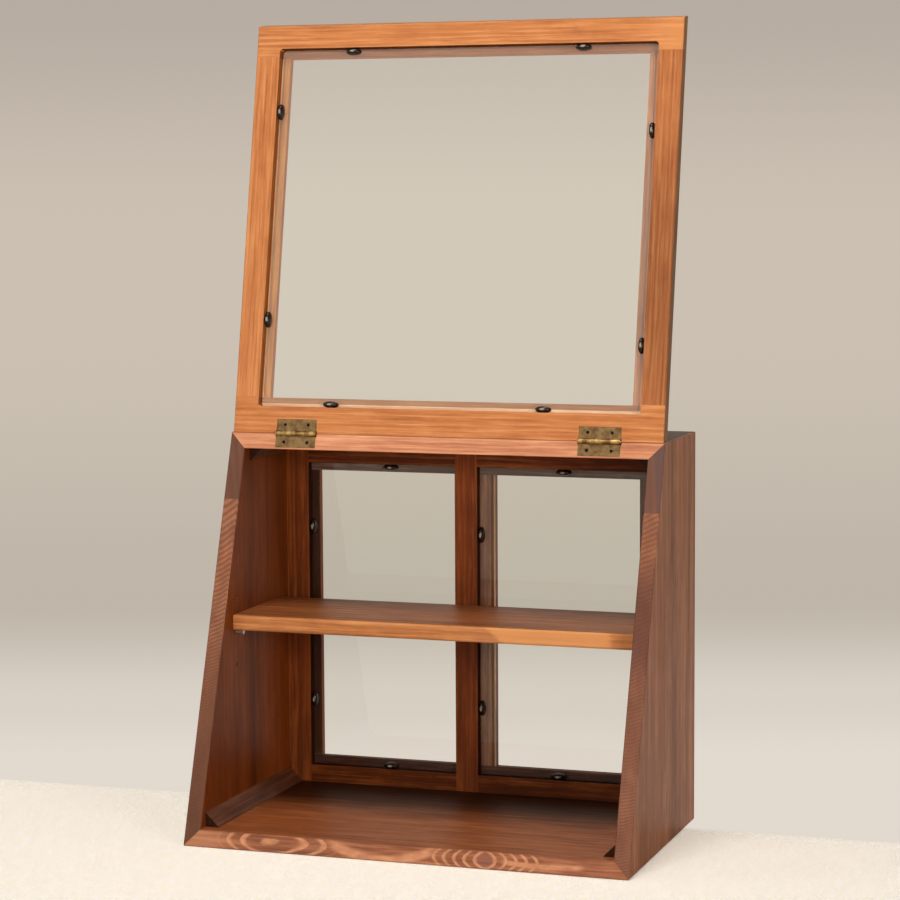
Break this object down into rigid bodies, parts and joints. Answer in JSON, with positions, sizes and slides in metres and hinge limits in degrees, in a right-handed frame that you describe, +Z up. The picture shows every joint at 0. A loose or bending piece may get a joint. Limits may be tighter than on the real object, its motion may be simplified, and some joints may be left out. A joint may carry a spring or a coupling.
{
  "type": "seashell display case",
  "caption": "Small wooden display case with a sloping open front, glazed back panes, a pinned shelf and a glazed lid hinged at the top that stands open or closes over the front.",
  "frame": {"origin": "on the table, under the middle of the base", "axes": "+X to the right seen from the open front, +Y to the glazed back, +Z up; the lid stands open"},
  "size_m": [0.268, 0.1528, 0.4791],
  "materials": {
    "left_side_wood": "thin worn varnish, satin",
    "right_side_wood": "thin worn varnish, satin",
    "top_board_wood": "thin worn varnish, satin",
    "bottom_board_wood": "thin worn varnish, satin",
    "bottom_left_batten_wood": "thin worn varnish, satin",
    "bottom_right_batten_wood": "thin worn varnish, satin",
    "top_left_batten_wood": "thin worn varnish, satin",
    "top_right_batten_wood": "thin worn varnish, satin",
    "back_left_stile_wood": "thin worn varnish, satin",
    "back_right_stile_wood": "thin worn varnish, satin",
    "back_mullion_wood": "thin worn varnish, satin",
    "back_top_rail_wood": "thin worn varnish, satin",
    "back_bottom_rail_wood": "thin worn varnish, satin",
    "lid_hinge_rail_wood": "thin worn varnish, satin",
    "lid_free_rail_wood": "thin worn varnish, satin",
    "lid_left_stile_wood": "thin worn varnish, satin",
    "lid_right_stile_wood": "thin worn varnish, satin",
    "shelf_wood": "thin worn varnish, satin",
    "pane_glass": "clear polished",
    "stud_bronze": "dark bronzed, satin",
    "hinge_brass": "tarnished satin",
    "hinge_pin_brass": "satin",
    "screw_brass": "tarnished satin",
    "pin_steel": "bright"
  },
  "bodies": {
    "case": {"left_side": "left_side_wood", "right_side": "right_side_wood", "top_board": "top_board_wood", "bottom_board": "bottom_board_wood", "bottom_left_batten": "bottom_left_batten_wood", "bottom_right_batten": "bottom_right_batten_wood", "top_left_batten": "top_left_batten_wood", "top_right_batten": "top_right_batten_wood", "back_left_stile": "back_left_stile_wood", "back_right_stile": "back_right_stile_wood", "back_mullion": "back_mullion_wood", "back_top_rail": "back_top_rail_wood", "back_bottom_rail": "back_bottom_rail_wood", "back_left_glass": "pane_glass", "back_right_glass": "pane_glass", "back_glass_studs": "stud_bronze", "left_hinge_case_leaf": "hinge_brass", "right_hinge_case_leaf": "hinge_brass", "left_hinge_pin": "hinge_pin_brass", "right_hinge_pin": "hinge_pin_brass", "hinge_case_screws": "screw_brass", "shelf_pins": "pin_steel"},
    "lid": {"lid_hinge_rail": "lid_hinge_rail_wood", "lid_free_rail": "lid_free_rail_wood", "lid_left_stile": "lid_left_stile_wood", "lid_right_stile": "lid_right_stile_wood", "lid_glass": "pane_glass", "lid_glass_studs": "stud_bronze", "left_hinge_lid_leaf": "hinge_brass", "right_hinge_lid_leaf": "hinge_brass", "hinge_lid_screws": "screw_brass"},
    "shelf": {"shelf": "shelf_wood"}
  },
  "joints": [
    {"name": "lid_hinge", "type": "hinge", "parent": "case", "child": "lid", "pos_m": [0, 0.00312, 0.23481], "axis": [-1, 0, 0], "range_deg": [-172.2, 0]},
    {"name": "shelf_draw", "type": "slide", "parent": "case", "child": "shelf", "axis": [0, -1, 0], "range_m": [0, 0.1]}
  ]
}
